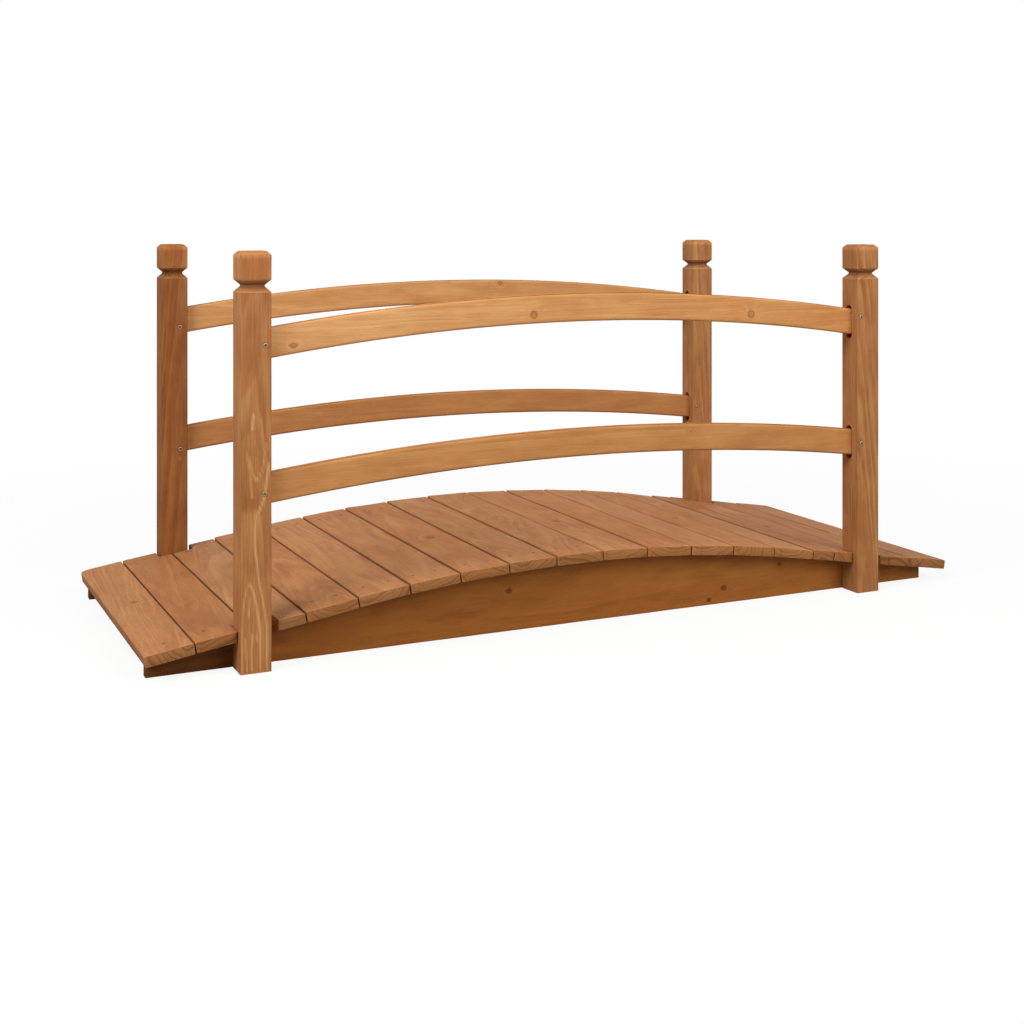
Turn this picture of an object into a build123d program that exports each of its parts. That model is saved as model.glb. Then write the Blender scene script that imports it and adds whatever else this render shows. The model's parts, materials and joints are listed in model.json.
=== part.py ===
from build123d import *
import math
import os

# A wooden garden moon bridge, in millimetres: an arched deck of cross boards on two
# stringers that stand flat on the ground, with four posts and a pair of curved rails
# on each side. X runs along the walkway, Y across it and Z up, with the origin on the
# ground under the middle of the whole bridge.

# Whole bridge
deck_length = 1400.0
width_over_posts = 600.0
post_height = 600.0

# Stringers: flat below, on top an arc that runs out in a straight taper at each end
stringer_thickness = 15.0
crown_height = 102.0
end_height = 24.0
crown_radius = 2400.0

# Deck: boards laid flat across the stringers, from the left end to the right
left_overhang = 8.0
right_overhang = 32.0
deck_side_inset = 10.0
board_thickness = 16.5
board_width = 79.0
board_gap = 1.8
first_board_width = 70.0
boards_after_filler = 3
narrowest_board = 20.0
board_edge_radius = 2.0
seat_gap = 0.05

# Posts: square, with a capped head over a V neck, set in from the stringers' ends
post_to_stringer_end = 146.0
post_section = 45.0
cap_height = 41.0
cap_chamfer = 6.0
neck_height = 18.0
neck_depth = 8.0
neck_flat = 2.0
corner_radius = 1.5

# Notches in the boards round the posts: the free space before and after a post
front_left_notch = (1.5, 13.0)
front_right_notch = (1.0, 11.0)
back_left_notch = (3.5, 8.0)
back_right_notch = (1.0, 8.0)
notch_back_gap = 1.5

# Rails: curved boards whose ends sit in round-ended blind mortises
rail_depth = 44.0
rail_thickness = 15.0
rail_edge_chamfer = 3.0
handrail_height = 467.0
handrail_rise = 38.0
midrail_height = 258.5
midrail_rise = 33.5
mortise_end_play = 7.0
mortise_side_play = 2.0
mortise_depth = 15.0
mortise_end_gap = 2.0
mortise_margin = 11.5

# Places worked out from the sizes above
frame_x = (left_overhang - right_overhang) / 2
stringer_half = (deck_length - left_overhang - right_overhang) / 2
post_spacing = 2 * (stringer_half - post_to_stringer_end)
post_x = {"left": frame_x - post_spacing / 2, "right": frame_x + post_spacing / 2}
post_y = {"front": -(width_over_posts - post_section) / 2, "back": (width_over_posts - post_section) / 2}
clear_half_width = width_over_posts / 2 - post_section
deck_half_width = width_over_posts / 2 - deck_side_inset
mortise_width = rail_thickness + mortise_side_play
mortise_height = rail_depth + 2 * mortise_end_play
rail_half_span = post_spacing / 2 - post_section / 2
rail_half_length = rail_half_span + mortise_depth - mortise_end_gap

# The taper leaves the arc where the line to the stringer's end corner is tangent to it
end_drop_from_centre = crown_radius - crown_height + end_height
taper_angle = math.atan2(stringer_half, end_drop_from_centre) - math.acos(
    crown_radius / math.hypot(stringer_half, end_drop_from_centre)
)
arc_half_length = crown_radius * taper_angle
tangent_x = crown_radius * math.sin(taper_angle)
tangent_z = crown_height - crown_radius * (1 - math.cos(taper_angle))


def deck_path(distance):
    """Point and downward angle on the stringers' top, at a distance from the crown."""
    if abs(distance) <= arc_half_length:
        angle = distance / crown_radius
        rise = crown_height - crown_radius * (1 - math.cos(angle))
        return crown_radius * math.sin(angle), rise, angle
    side = math.copysign(1, distance)
    run = abs(distance) - arc_half_length
    along = tangent_x + run * math.cos(taper_angle)
    return side * along, tangent_z - run * math.sin(taper_angle), side * taper_angle


def path_length_to(reach):
    """Length of the deck path from the crown out to a level distance on the taper."""
    return arc_half_length + (reach - tangent_x) / math.cos(taper_angle)


def board_plan():
    """Start and width of each board along the deck path, left to right."""
    corner = board_edge_radius
    lean = (board_thickness + seat_gap - corner) * math.sin(taper_angle) + corner * (1 - math.cos(taper_angle))
    start = -path_length_to(deck_length / 2 + frame_x - lean)
    end = path_length_to(deck_length / 2 - frame_x - lean)
    pitch = board_width + board_gap
    free = end - start - first_board_width - board_gap
    full_boards = int((free - narrowest_board) / pitch)
    filler_width = free - full_boards * pitch
    widths = [first_board_width] + [board_width] * (full_boards - boards_after_filler)
    widths += [filler_width] + [board_width] * boards_after_filler
    plan = []
    for width in widths:
        plan.append((start, width))
        start += width + board_gap
    return plan


def rail_radius(rise):
    """Radius of a rail's middle line, from its bow between the posts' faces."""
    return (rail_half_span**2 + rise**2) / (2 * rise)


def mortise_drop(rise):
    """How far a rail's middle line has dropped half way into its mortise."""
    radius = rail_radius(rise)
    middle_of_end = (rail_half_span + rail_half_length) / 2
    return radius - math.sqrt(radius**2 - middle_of_end**2) - rise


def save(part, name):
    """Label a finished piece and write its STEP file."""
    part.label = name
    export_step(part, f"parts/{name}.step")


def build_stringer(name, side):
    """One side beam; side is -1 for the front and 1 for the back."""
    middle_y = side * (clear_half_width - stringer_thickness / 2)
    with BuildPart() as stringer:
        with BuildSketch(Plane.XZ.offset(-middle_y)):
            with BuildLine():
                Polyline(
                    (frame_x - tangent_x, tangent_z),
                    (frame_x - stringer_half, end_height),
                    (frame_x - stringer_half, 0),
                    (frame_x + stringer_half, 0),
                    (frame_x + stringer_half, end_height),
                    (frame_x + tangent_x, tangent_z),
                )
                ThreePointArc(
                    (frame_x + tangent_x, tangent_z),
                    (frame_x, crown_height),
                    (frame_x - tangent_x, tangent_z),
                )
            make_face()
        extrude(amount=stringer_thickness / 2, both=True)
    save(stringer.part, name)


def build_board(name, start, width):
    """One deck board, flat on the stringers and notched where it meets a post."""
    along, rise, angle = deck_path(start + width / 2)
    across = Vector(math.cos(angle), 0, -math.sin(angle))
    upward = Vector(math.sin(angle), 0, math.cos(angle))
    middle = Vector(frame_x + along, 0, rise) + upward * (seat_gap + board_thickness / 2)
    half_length = width / 2 + board_thickness
    notch_depth = deck_half_width - clear_half_width + notch_back_gap
    with BuildPart() as board:
        with BuildSketch(Plane(origin=middle, x_dir=across, z_dir=(0, -1, 0))):
            RectangleRounded(width, board_thickness, board_edge_radius)
        extrude(amount=deck_half_width, both=True)
        for side, end, (gap_before, gap_after) in (
            (-1, "left", front_left_notch),
            (-1, "right", front_right_notch),
            (1, "left", back_left_notch),
            (1, "right", back_right_notch),
        ):
            notch_from = post_x[end] - post_section / 2 - gap_before
            notch_to = post_x[end] + post_section / 2 + gap_after
            if notch_to > middle.X - half_length and notch_from < middle.X + half_length:
                corner_y = side * (deck_half_width - notch_depth / 2)
                with Locations(((notch_from + notch_to) / 2, corner_y, middle.Z)):
                    Box(notch_to - notch_from, notch_depth, 4 * board_thickness, mode=Mode.SUBTRACT)
    save(board.part, name)


def build_post(name, row, end):
    """One post, with its head, neck and the two mortises that face the span."""
    x, y = post_x[end], post_y[row]
    inward = 1 if end == "left" else -1
    half = post_section / 2
    neck_middle = post_height - cap_height - neck_height / 2
    mortise_y = y + half - mortise_margin - mortise_width / 2
    with BuildPart() as post:
        with BuildSketch():
            with Locations((x, y)):
                Rectangle(post_section, post_section)
        extrude(amount=post_height)
        chamfer(post.faces().sort_by(Axis.Z)[-1].edges(), cap_chamfer)
        fillet(post.edges().filter_by(Axis.Z), corner_radius)
        for plane in (Plane.XZ.offset(-y), Plane.YZ.offset(x)):
            centre = x if plane.z_dir.Y else y
            with BuildSketch(plane):
                for side in (-1, 1):
                    with BuildLine():
                        Polyline(
                            (centre + side * half, neck_middle + neck_height / 2),
                            (centre + side * (half - neck_depth), neck_middle + neck_flat / 2),
                            (centre + side * (half - neck_depth), neck_middle - neck_flat / 2),
                            (centre + side * half, neck_middle - neck_height / 2),
                            close=True,
                        )
                    make_face()
            extrude(amount=post_section, both=True, mode=Mode.SUBTRACT)
        for height, rise in ((handrail_height, handrail_rise), (midrail_height, midrail_rise)):
            mouth = Vector(x + inward * half, mortise_y, height - mortise_drop(rise))
            with BuildSketch(Plane(origin=mouth, x_dir=(0, 1, 0), z_dir=(inward, 0, 0))):
                SlotOverall(mortise_height, mortise_width, rotation=90)
            extrude(amount=-mortise_depth, mode=Mode.SUBTRACT)
    save(post.part, name)


def build_rail(name, row, height, rise):
    """One curved rail; height is its middle at the posts and rise its bow above that."""
    radius = rail_radius(rise)
    centre = Vector(frame_x, 0, height + rise - radius)
    start_angle = math.asin(rail_half_length / radius) + rail_depth / radius
    outward = Vector(-math.sin(start_angle), 0, math.cos(start_angle))
    middle_y = post_y[row] + post_section / 2 - mortise_margin - mortise_width + rail_thickness / 2
    start = Plane(centre + outward * radius + Vector(0, middle_y, 0), x_dir=outward, z_dir=outward.cross(Axis.Y.direction))
    with BuildPart() as rail:
        with BuildSketch(start) as section:
            Rectangle(rail_depth, rail_thickness)
            chamfer(section.vertices(), rail_edge_chamfer)
        revolve(axis=Axis(centre, (0, 1, 0)), revolution_arc=2 * math.degrees(start_angle))
        split(bisect_by=Plane.YZ.offset(frame_x - rail_half_length), keep=Keep.TOP)
        split(bisect_by=Plane.YZ.offset(frame_x + rail_half_length), keep=Keep.BOTTOM)
    save(rail.part, name)


build_stringer("stringer_front", -1)
build_stringer("stringer_back", 1)

for number, (board_start, width) in enumerate(board_plan(), start=1):
    build_board(f"deck_board_{number:02d}", board_start, width)

for row in ("front", "back"):
    for end in ("left", "right"):
        build_post(f"post_{row}_{end}", row, end)
    build_rail(f"handrail_{row}", row, handrail_height, handrail_rise)
    build_rail(f"midrail_{row}", row, midrail_height, midrail_rise)
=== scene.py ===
"""A wooden garden moon bridge, dressed for the eye over its CAD frame.

Each CAD solid is stood for by a piece of timber with the same outline, cut fine enough to
carry its wood: where each point lies in the tree it came from, its knots, its edges, lighter from
wear and a painted highlight, and the dents round its nails, with painted shade in the deck's seams,
the posts' necks, the beams' left ends and the screws' recesses. Rails, screws and nails are made by
Geometry Nodes.
Sizes are millimetres unless a name says otherwise. X runs along the walkway, Y across it and
Z up.
"""

from __future__ import annotations

import json
import logging
import math
from dataclasses import dataclass, field
from enum import Enum

import bmesh
import bpy
import numpy as np
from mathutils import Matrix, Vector, noise

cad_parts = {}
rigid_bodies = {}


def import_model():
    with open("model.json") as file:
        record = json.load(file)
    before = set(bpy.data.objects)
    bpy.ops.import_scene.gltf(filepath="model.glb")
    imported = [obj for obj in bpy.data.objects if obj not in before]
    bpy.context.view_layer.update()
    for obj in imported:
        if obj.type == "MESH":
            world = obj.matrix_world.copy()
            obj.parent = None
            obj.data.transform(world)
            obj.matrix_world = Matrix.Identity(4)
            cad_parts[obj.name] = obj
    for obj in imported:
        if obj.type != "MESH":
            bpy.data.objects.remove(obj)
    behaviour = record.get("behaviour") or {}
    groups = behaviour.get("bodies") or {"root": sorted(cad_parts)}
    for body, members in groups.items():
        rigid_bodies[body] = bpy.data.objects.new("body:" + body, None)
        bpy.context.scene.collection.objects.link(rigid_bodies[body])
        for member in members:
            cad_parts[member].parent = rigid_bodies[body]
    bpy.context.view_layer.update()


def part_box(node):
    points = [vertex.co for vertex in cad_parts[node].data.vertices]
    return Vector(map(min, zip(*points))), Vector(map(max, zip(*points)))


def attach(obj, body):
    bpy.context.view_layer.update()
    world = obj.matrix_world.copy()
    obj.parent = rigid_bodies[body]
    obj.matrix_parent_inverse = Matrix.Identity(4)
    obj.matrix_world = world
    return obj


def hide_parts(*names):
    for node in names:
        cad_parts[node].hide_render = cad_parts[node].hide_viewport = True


Colour = tuple[float, float, float, float]
Mesh = bpy.types.Mesh
Pair = tuple[float, float]
Piece = bpy.types.Object
Rows = np.ndarray
Socket = bpy.types.NodeSocket
Solid = bmesh.types.BMesh
Tree = bpy.types.NodeTree

log = logging.getLogger("moon_bridge")

MM = 0.001

MATH = "ShaderNodeMath"
VECTOR = "ShaderNodeVectorMath"
NOISE = "ShaderNodeTexNoise"
RANGE = "ShaderNodeMapRange"
MIX = "ShaderNodeMix"
# A range with soft starts and stops, and a mix of colours
SOFT = {"interpolation_type": "SMOOTHSTEP"}
COLOURS = {"out": 2, "data_type": "RGBA"}

X, Y, Z = Vector((1, 0, 0)), Vector((0, 1, 0)), Vector((0, 0, 1))
# How many of its own radii away a knot counts as far off
NO_KNOT = 9.0
# How far apart the pieces lie along the tree, so that no two share the same wood
PIECE_STEP = 3100.0
# Length of the waves in a straight piece's surface
WAVE = 70.0
# Edges flatter than this are shaded smooth
TIMBER_SMOOTH, STEEL_SMOOTH = math.radians(34), math.radians(50)


class Slot(Enum):
    """The record's material slots."""

    POST = "post"
    RAIL = "rail"
    STRINGER = "stringer"
    DECK = "deck"


class End(Enum):
    """The two ends of the walkway."""

    LEFT = "left"
    RIGHT = "right"


def linear(hex_colour: str) -> Colour:
    """Turns an sRGB colour into the linear one that a shader takes.

    Args:
        hex_colour: Six digits after a hash sign.

    Returns:
        Red, green and blue as linear light, and a full alpha.
    """
    values = [int(hex_colour[i : i + 2], 16) / 255 for i in (1, 3, 5)]
    curved = [v / 12.92 if v <= 0.04045 else ((v + 0.055) / 1.055) ** 2.4 for v in values]
    return (*curved, 1.0)


def add(
    tree: Tree,
    kind: str,
    inputs: dict | None = None,
    out: int | str = 0,
    **settings: object,
) -> Socket | bpy.types.Node:
    """Adds one node with its settings, values and links.

    Args:
        tree: The tree that gets the node.
        kind: The node's type name.
        inputs: A value or a linked socket for each input, by name or number.
        out: The output that is handed back.
        **settings: The node's own properties.

    Returns:
        The chosen output, or the node itself where it has none.
    """
    node = tree.nodes.new(kind)
    for name, value in settings.items():
        setattr(node, name, value)
    for socket, value in (inputs or {}).items():
        if isinstance(value, Socket):
            tree.links.new(value, node.inputs[socket])
        else:
            node.inputs[socket].default_value = value
    return node.outputs[out] if len(node.outputs) else node


def blank(block: bpy.types.ID) -> Tree:
    """Turns on the nodes of a material or a world, and empties them.

    Args:
        block: The material or the world.

    Returns:
        Its empty tree.
    """
    block.use_nodes = True
    block.node_tree.nodes.clear()
    return block.node_tree


@dataclass(frozen=True)
class StainedFir:
    """Sawn fir under a thin brown glaze.

    The soft early wood drinks the glaze and the hard late wood stays light, so the growth rings
    show as pale lines on a cloudy ground. The cut ends drink more and show their rings darker.

    Attributes:
        name: The material's name.
        early: Colour of the early wood.
        late: Colour of the late wood's lines.
        dark: Colour where the glaze pooled.
        haze: Colour of the patches where the glaze lies thin.
        end: Colour of the cut ends' early wood.
        end_late: Colour of the rings on the cut ends.
        knot: Colour of a knot's heart.
        dirt: Colour of the dirt in dents and slits, and of the painted shade in the deck's seams and the
            posts' necks.
        knot_fill: How dark a knot is between its heart and its rim.
        knot_rim: How dark its rim is.
        wear_and_highlight: How much lighter the arrises are, partly from worn glaze and partly as a painted
            highlight.
        ring: Mean width of a growth ring.
        ring_share: How far the late wood's colour is taken.
        pool_share: How far the pooled glaze's colour is taken.
        haze_share: How far the thin glaze's colour is taken.
        fibre_share: Spread of brightness from fibre to fibre.
        sway: How far the trunk strays from straight.
        roughness: Roughness of the faces.
        raised: Height by which the late wood stands proud.
    """

    name: str
    early: str
    late: str
    dark: str
    haze: str
    end: str = "#9b683c"
    end_late: str = "#7b4c29"
    knot: str = "#5d3518"
    dirt: str = "#3f200e"
    knot_fill: float = 0.45
    knot_rim: float = 0.6
    wear_and_highlight: float = 1.28
    ring: float = 4.2
    ring_share: float = 0.55
    pool_share: float = 0.4
    haze_share: float = 0.6
    fibre_share: float = 0.2
    sway: float = 22.0
    roughness: float = 0.66
    raised: float = 0.10

    def material(self) -> bpy.types.Material:
        """Builds the material's nodes.

        Returns:
            The finished material.
        """
        material = bpy.data.materials.new(self.name)
        tree = blank(material)
        # Where each point lies in the tree, in millimetres: two steps off the pith, one along it
        grain = add(tree, "ShaderNodeAttribute", out="Vector", attribute_name="grain")
        knot, end, edge, dent, streak = (
            add(tree, "ShaderNodeAttribute", out="Fac", attribute_name=name)
            for name in ("knot", "end", "edge", "dent", "streak")
        )
        tone = add(tree, "ShaderNodeAttribute", out="Vector", attribute_name="tone")

        # The trunk was never quite round or straight
        slow = add(tree, VECTOR, {0: grain, 1: (1 / 42, 1 / 42, 1 / 300)}, operation="MULTIPLY")
        drift = {"Vector": slow, "Scale": 1.0, "Detail": 2.5, "Roughness": 0.5}
        drift = add(tree, NOISE, drift, out="Color")
        size = (self.sway, self.sway, 0)
        half = (-self.sway / 2, -self.sway / 2, 0)
        moved = add(tree, VECTOR, {0: drift, 1: size, 2: half}, operation="MULTIPLY_ADD")
        place = add(tree, VECTOR, {0: grain, 1: moved}, operation="ADD")
        ring = self.rings(tree, place, knot)

        # Fibres about a millimetre wide, and short open pores
        fine = add(tree, VECTOR, {0: place, 1: (0.6, 0.6, 0.012)}, operation="MULTIPLY")
        fibre = add(tree, NOISE, {"Vector": fine, "Scale": 1.0, "Detail": 4.0, "Roughness": 0.6})
        pores_at = add(tree, VECTOR, {0: place, 1: (1.5, 1.5, 0.045)}, operation="MULTIPLY")
        pores = add(tree, NOISE, {"Vector": pores_at, "Scale": 1.0, "Detail": 2.0, "Roughness": 0.5})
        pore = add(tree, RANGE, {0: pores, 1: 0.62, 2: 0.74, 3: 0.0, 4: 1.0})

        face = self.face(tree, place, ring, streak)
        spread = self.fibre_share / 2
        light = add(tree, RANGE, {0: fibre, 1: 0.25, 2: 0.75, 3: 1 - spread, 4: 1 + spread})
        pored = add(tree, RANGE, {0: pore, 1: 0.0, 2: 1.0, 3: 1.0, 4: 0.88})
        light = add(tree, MATH, {0: light, 1: pored}, operation="MULTIPLY")
        # The arrises are lighter, partly from worn glaze and partly as a painted highlight
        worn = add(tree, RANGE, {0: edge, 1: 0.0, 2: 1.0, 3: 1.0, 4: self.wear_and_highlight})
        light = add(tree, MATH, {0: light, 1: worn}, operation="MULTIPLY")
        face = add(tree, VECTOR, {0: face, 1: light}, operation="MULTIPLY")

        slit = self.slits(tree, place, end)
        cut = add(tree, MIX, {0: ring, 6: linear(self.end), 7: linear(self.end_late)}, **COLOURS)
        speckle = add(tree, RANGE, {0: pores, 1: 0.3, 2: 0.7, 3: 0.84, 4: 1.16})
        cut = add(tree, VECTOR, {0: cut, 1: speckle}, operation="MULTIPLY")
        wood = add(tree, MIX, {0: end, 6: face, 7: cut}, **COLOURS)
        wood = add(tree, VECTOR, {0: wood, 1: tone}, operation="MULTIPLY")

        # A knot has a dark heart and a dark rim, and is a little browner than the wood between
        heart = add(tree, RANGE, {0: knot, 1: 0.1, 2: 0.5, 3: 0.8, 4: self.knot_fill}, **SOFT)
        rim = add(tree, RANGE, {0: knot, 1: 0.62, 2: 0.88, 3: 0.0, 4: self.knot_rim}, **SOFT)
        heart = add(tree, MATH, {0: heart, 1: rim}, operation="MAXIMUM")
        fade = add(tree, RANGE, {0: knot, 1: 0.9, 2: 1.6, 3: 1.0, 4: 0.0}, **SOFT)
        heart = add(tree, MATH, {0: heart, 1: fade}, operation="MULTIPLY")
        wood = add(tree, MIX, {0: heart, 6: wood, 7: linear(self.knot)}, **COLOURS)

        # Dirt in the dents and in the slits, and the painted shade that the dent attribute also carries in
        # the deck's seams and the posts' necks
        dirt = add(tree, MATH, {0: dent, 1: slit}, operation="MAXIMUM")
        dirt = add(tree, MATH, {0: dirt, 1: 0.8}, operation="MULTIPLY")
        wood = add(tree, MIX, {0: dirt, 6: wood, 7: linear(self.dirt)}, **COLOURS)

        # Raised grain
        height = add(tree, MATH, {0: ring, 1: self.raised}, operation="MULTIPLY")
        height = add(tree, MATH, {0: fibre, 1: 0.30, 2: height}, operation="MULTIPLY_ADD")
        height = add(tree, MATH, {0: pore, 1: -0.12, 2: height}, operation="MULTIPLY_ADD")
        height = add(tree, MATH, {0: slit, 1: -0.5, 2: height}, operation="MULTIPLY_ADD")
        bump = add(tree, "ShaderNodeBump", {"Strength": 0.7, "Distance": MM, "Height": height})
        smooth, rough = self.roughness - 0.05, self.roughness + 0.07
        matt = add(tree, RANGE, {0: fibre, 1: 0.3, 2: 0.7, 3: smooth, 4: rough})
        matt = add(tree, MATH, {0: end, 1: 0.2, 2: matt}, operation="MULTIPLY_ADD")
        skin = add(
            tree,
            "ShaderNodeBsdfPrincipled",
            {"Base Color": wood, "Roughness": matt, "Normal": bump, "Specular IOR Level": 0.14},
        )
        add(tree, "ShaderNodeOutputMaterial", {"Surface": skin})
        return material

    def rings(
        self, tree: Tree, place: Socket, knot: Socket
    ) -> Socket:
        """Adds the growth rings: of uneven width and strength, and pushed aside by knots.

        Args:
            tree: The material's tree.
            place: Where each point lies in the trunk.
            knot: How many of its own radii a knot is away.

        Returns:
            How much late wood there is, from 0 to 1.
        """
        level = add(tree, VECTOR, {0: place, 1: (1, 1, 0)}, operation="MULTIPLY")
        radius = add(tree, VECTOR, {0: level}, out="Value", operation="LENGTH")
        years = add(tree, MATH, {0: radius, 1: 1 / self.ring}, operation="MULTIPLY")
        uneven = {"W": years, "Scale": 0.23, "Detail": 1.0, "Roughness": 0.5}
        uneven = add(tree, NOISE, uneven, noise_dimensions="1D")
        years = add(tree, MATH, {0: uneven, 1: 3.4, 2: years}, operation="MULTIPLY_ADD")
        push = add(tree, RANGE, {0: knot, 1: 0.8, 2: 4.2, 3: 1.6, 4: 0.0}, **SOFT)
        years = add(tree, MATH, {0: years, 1: push}, operation="ADD")
        part = add(tree, MATH, {0: years}, operation="FRACT")
        number = add(tree, MATH, {0: years}, operation="FLOOR")
        strength = add(tree, "ShaderNodeTexWhiteNoise", {"W": number}, noise_dimensions="1D")
        strength = add(tree, RANGE, {0: strength, 1: 0.0, 2: 1.0, 3: 0.1, 4: 1.0})
        grows = add(tree, RANGE, {0: part, 1: 0.2, 2: 0.8, 3: 0.0, 4: 1.0}, **SOFT)
        stops = add(tree, RANGE, {0: part, 1: 0.84, 2: 1.0, 3: 1.0, 4: 0.0}, **SOFT)
        ring = add(tree, MATH, {0: grows, 1: stops}, operation="MULTIPLY")
        return add(tree, MATH, {0: ring, 1: strength}, operation="MULTIPLY")

    def face(
        self,
        tree: Tree,
        place: Socket,
        ring: Socket,
        streak: Socket,
    ) -> Socket:
        """Adds the colour of the faces along the grain.

        Args:
            tree: The material's tree.
            place: Where each point lies in the trunk.
            ring: How much late wood there is.
            streak: How much of a broad pale streak there is.

        Returns:
            The colour.
        """
        share = add(tree, MATH, {0: ring, 1: self.ring_share}, operation="MULTIPLY")
        # The rings fade in and out along the board, over a hand's breadth or two
        fade_at = add(tree, VECTOR, {0: place, 1: (1 / 38, 1 / 38, 1 / 150)}, operation="MULTIPLY")
        fade = add(tree, NOISE, {"Vector": fade_at, "Scale": 1.0, "Detail": 1.0, "Roughness": 0.5})
        fade = add(tree, RANGE, {0: fade, 1: 0.36, 2: 0.62, 3: 0.3, 4: 1.0})
        share = add(tree, MATH, {0: share, 1: fade}, operation="MULTIPLY")
        share = add(tree, MATH, {0: share, 1: streak}, operation="MAXIMUM")
        early, late = linear(self.early), linear(self.late)
        # Thin and pooled glaze lie in patches of 40 to 100 mm
        thin_at = add(tree, VECTOR, {0: place, 1: (1 / 34, 1 / 34, 1 / 74)}, operation="MULTIPLY")
        thin = add(tree, NOISE, {"Vector": thin_at, "Scale": 1.0, "Detail": 3.0, "Roughness": 0.6})
        thin = add(tree, RANGE, {0: thin, 1: 0.4, 2: 0.64, 3: 0.0, 4: self.haze_share}, **SOFT)
        colour = add(tree, MIX, {0: thin, 6: early, 7: linear(self.haze)}, **COLOURS)
        pool_at = add(tree, VECTOR, {0: place, 1: (1 / 22, 1 / 22, 1 / 105)}, operation="MULTIPLY")
        pool = add(tree, NOISE, {"Vector": pool_at, "Scale": 1.0, "Detail": 3.0, "Roughness": 0.55})
        pool = add(tree, RANGE, {0: pool, 1: 0.46, 2: 0.72, 3: 0.0, 4: self.pool_share}, **SOFT)
        colour = add(tree, MIX, {0: pool, 6: colour, 7: linear(self.dark)}, **COLOURS)
        return add(tree, MIX, {0: share, 6: colour, 7: late}, **COLOURS)

    def slits(
        self,
        tree: Tree,
        place: Socket,
        end: Socket,
    ) -> Socket:
        """Adds the few drying slits that run outwards from the pith on a cut end.

        Args:
            tree: The material's tree.
            place: Where each point lies in the trunk.
            end: 1 on a cut end.

        Returns:
            1 in a slit.
        """
        off = add(tree, "ShaderNodeSeparateXYZ", {0: place}, out="X")
        turn = add(tree, MATH, {0: off.node.outputs["Y"], 1: off}, operation="ARCTAN2")
        # Each piece lies at its own place along the tree, which tells its slits from the next one's
        far = add(tree, MATH, {0: off.node.outputs["Z"], 1: 1 / PIECE_STEP}, operation="MULTIPLY")
        slit_at = add(tree, "ShaderNodeCombineXYZ", {0: turn, 1: 0.0, 2: far})
        slit = add(tree, NOISE, {"Vector": slit_at, "Scale": 4.0, "Detail": 1.0, "Roughness": 0.5})
        slit = add(tree, MATH, {0: slit, 1: 0.62}, operation="SUBTRACT")
        slit = add(tree, MATH, {0: slit}, operation="ABSOLUTE")
        slit = add(tree, RANGE, {0: slit, 1: 0.002, 2: 0.008, 3: 0.45, 4: 0.0})
        return add(tree, MATH, {0: slit, 1: end}, operation="MULTIPLY")


@dataclass(frozen=True)
class Steel:
    """Steel wire goods: a thin dulled skin over bare metal, with painted shade in the hollows.

    Attributes:
        name: The material's name.
        colour: The skin's colour.
        recess_shade: Colour of the painted shade in the recess.
        roughness: Roughness of the skin.
        metallic: How bare the metal is.
        fleck: How many flecks lie on a metre.
    """

    name: str
    colour: str
    recess_shade: str = "#1d150e"
    roughness: float = 0.45
    metallic: float = 0.7
    fleck: float = 2000.0

    def material(self) -> bpy.types.Material:
        """Builds the material's nodes.

        Returns:
            The finished material.
        """
        material = bpy.data.materials.new(self.name)
        tree = blank(material)
        place = add(tree, "ShaderNodeTexCoord", out="Object")
        # Flecks of about half a millimetre
        fleck = add(tree, NOISE, {"Vector": place, "Scale": self.fleck, "Detail": 2.0})
        hollow = add(tree, "ShaderNodeAttribute", out="Fac", attribute_name="hollow")
        tint = add(tree, RANGE, {0: fleck, 1: 0.3, 2: 0.7, 3: 0.8, 4: 1.1})
        plate = add(tree, VECTOR, {0: linear(self.colour)[:3], 1: tint}, operation="MULTIPLY")
        # Painted shade darkens the hollows of the head
        colour = add(tree, MIX, {0: hollow, 6: plate, 7: linear(self.recess_shade)}, **COLOURS)
        smooth, rough = self.roughness - 0.08, self.roughness + 0.1
        rough = add(tree, RANGE, {0: fleck, 1: 0.3, 2: 0.7, 3: smooth, 4: rough})
        skin = {"Base Color": colour, "Metallic": self.metallic, "Roughness": rough}
        skin = add(tree, "ShaderNodeBsdfPrincipled", skin)
        add(tree, "ShaderNodeOutputMaterial", {"Surface": skin})
        return material


@dataclass(frozen=True)
class Knot:
    """A knot on the face of a piece.

    Attributes:
        along: Its place along the grain from the piece's middle.
        across: Its place across the wide face from the piece's middle.
        size: Half its width across the grain.
        stretch: How many times longer than wide it is.
    """

    along: float
    across: float
    size: float
    stretch: float = 1.3

    def around(self, cell: float) -> list[float]:
        """Where to slice the wood near the knot, so that its outline reads."""
        return near(self.along, self.size * self.stretch * 3, cell)


@dataclass(frozen=True)
class Streak:
    """A pale streak of late wood on a piece's front face.

    Attributes:
        width: Half its width.
        strength: How pale it is, up to 1.
        path: Its points, along the grain and across, from the piece's middle.
    """

    width: float
    strength: float
    path: tuple[Pair, ...]

    def strength_at(self, along: Rows, across: Rows) -> Rows:
        """How pale the streak makes some points.

        Args:
            along: Each point's place along the grain.
            across: Its place across.

        Returns:
            One value for each point.
        """
        nearest = np.full(len(along), np.inf)
        for (a0, c0), (a1, c1) in zip(self.path, self.path[1:]):
            run = np.hypot(a1 - a0, c1 - c0)
            step = np.clip(((along - a0) * (a1 - a0) + (across - c0) * (c1 - c0)) / run**2, 0, 1)
            away = np.hypot(along - a0 - step * (a1 - a0), across - c0 - step * (c1 - c0))
            nearest = np.minimum(nearest, away)
        return self.strength * np.exp(-((nearest / self.width) ** 2))


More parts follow.
